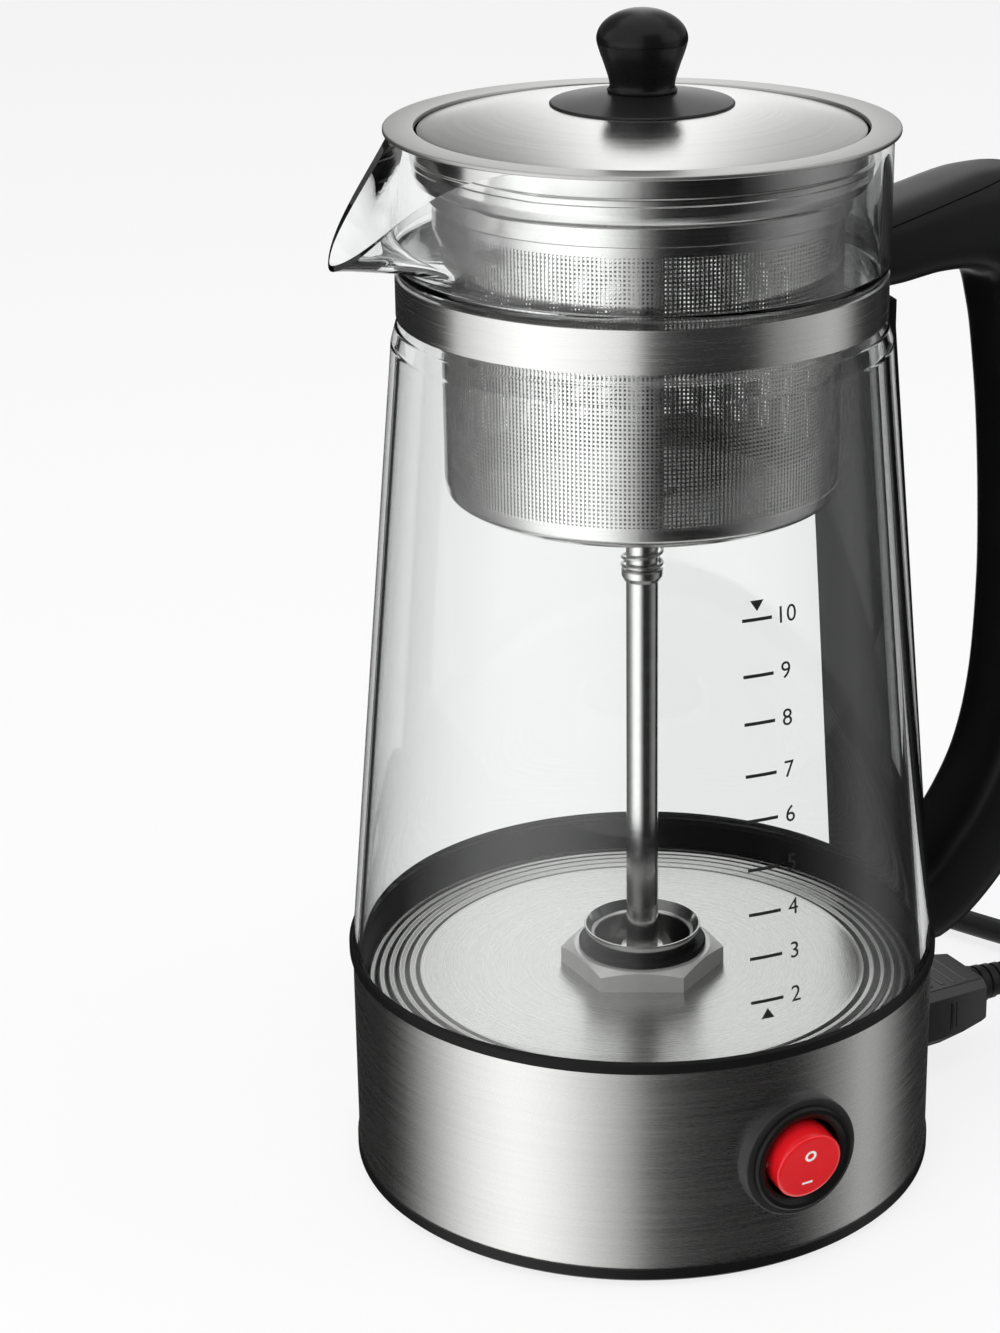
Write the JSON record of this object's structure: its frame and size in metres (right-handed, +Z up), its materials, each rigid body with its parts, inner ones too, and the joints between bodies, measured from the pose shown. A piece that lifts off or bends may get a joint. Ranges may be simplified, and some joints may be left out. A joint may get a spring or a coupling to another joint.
{
  "type": "electric coffee percolator",
  "caption": "Electric glass percolator: steel base with hot plate and rocker switch, tapered glass jug, side handle, hanging filter basket, sprung pump stem, lid with knob, detachable lead",
  "frame": {"origin": "on the table under the middle of the base", "axes": "+Z up, +X towards the handle and the mains inlet, -X towards the spout, -Y towards the switch"},
  "size_m": [0.2216, 0.2332, 0.2756],
  "materials": {
    "black_plastic": "satin moulded black",
    "grey_plastic": "satin dark grey",
    "red_plastic": "gloss red",
    "black_rubber": "matt black silicone rubber",
    "cord_black": "soft black cord sheath",
    "brushed_shell": "brushed round the axis",
    "satin_steel": "satin stainless sheet",
    "turned_plate": "turned in fine circles",
    "wire_mesh": "fine woven wire",
    "spring_steel": "bright drawn wire",
    "fastener_steel": "zinc plated",
    "spreader_aluminium": "cast",
    "element_sheath": "dull sheath",
    "contact_brass": "plain brass",
    "pale_phenolic": "pale moulded case",
    "brown_insulation": "silicone sleeve",
    "red_insulation": "silicone sleeve",
    "blue_insulation": "silicone sleeve",
    "green_insulation": "silicone sleeve",
    "clear_glass": "clear borosilicate glass"
  },
  "bodies": {
    "base": {"bottom_cover": "black_plastic", "foot_ring": "black_rubber", "cover_screws": "fastener_steel", "tie_pillars": "fastener_steel", "base_shell": "brushed_shell", "seal_ring": "black_rubber", "heating_plate": "turned_plate", "heat_spreader": "spreader_aluminium", "heating_element": "element_sheath", "element_terminals": "fastener_steel", "thermostat": "pale_phenolic", "thermostat_screws": "fastener_steel", "thermal_fuse": "contact_brass", "well_cup": "satin_steel", "well_nut": "satin_steel", "well_gasket": "black_rubber", "well_locknut": "fastener_steel", "glass_jug": "clear_glass", "collar_band": "brushed_shell", "band_screw": "fastener_steel", "band_nut": "fastener_steel", "handle_spine": "black_plastic", "handle_grip": "black_plastic", "handle_cover": "black_plastic", "foot_screws": "fastener_steel", "switch_collar": "grey_plastic", "switch_body": "black_plastic", "switch_terminals": "contact_brass", "inlet_socket": "black_plastic", "inlet_pins": "contact_brass", "live_wire": "brown_insulation", "load_wire": "black_rubber", "fuse_wire": "red_insulation", "neutral_wire": "blue_insulation", "earth_wire": "green_insulation"},
    "switch_rocker": {"rocker": "red_plastic", "rocker_pin": "fastener_steel"},
    "basket": {"basket_collar": "satin_steel", "basket_mesh": "wire_mesh", "basket_cup": "satin_steel", "guide_tube": "satin_steel", "stem_spring": "spring_steel"},
    "spreader": {"spreader_plate": "satin_steel"},
    "lid": {"lid_dome": "satin_steel", "knob": "black_plastic", "knob_disc": "black_plastic", "knob_screw": "fastener_steel"},
    "stem": {"stem_tube": "satin_steel", "stem_bell": "satin_steel", "stem_stop": "satin_steel"},
    "cordset": {"cord_connector": "cord_black", "strain_relief": "cord_black", "cord_lead": "cord_black", "cord_coil": "cord_black", "cord_tail": "cord_black", "coil_tie": "grey_plastic", "plug": "cord_black", "plug_pins": "contact_brass"}
  },
  "joints": [
    {"name": "rocker_tilt", "type": "hinge", "parent": "base", "child": "switch_rocker", "pos_m": [0, -0.0702, 0.0288], "axis": [1, 0, 0], "range_deg": [-20, 0]},
    {"name": "basket_lift", "type": "slide", "parent": "base", "child": "basket", "axis": [0, 0, 1], "range_m": [0, 0.23]},
    {"name": "spreader_lift", "type": "slide", "parent": "basket", "child": "spreader", "axis": [0, 0, 1], "range_m": [0, 0.04]},
    {"name": "lid_lift", "type": "slide", "parent": "spreader", "child": "lid", "axis": [0, 0, 1], "range_m": [0, 0.06]},
    {"name": "stem_press", "type": "slide", "parent": "basket", "child": "stem", "axis": [0, 0, 1], "range_m": [0, 0.006], "stiffness_N_per_m": 200, "springref_m": -0.01, "deforming": ["stem_spring"]},
    {"name": "cord_unplug", "type": "slide", "parent": "base", "child": "cordset", "axis": [1, 0, 0], "range_m": [0, 0.03]}
  ]
}
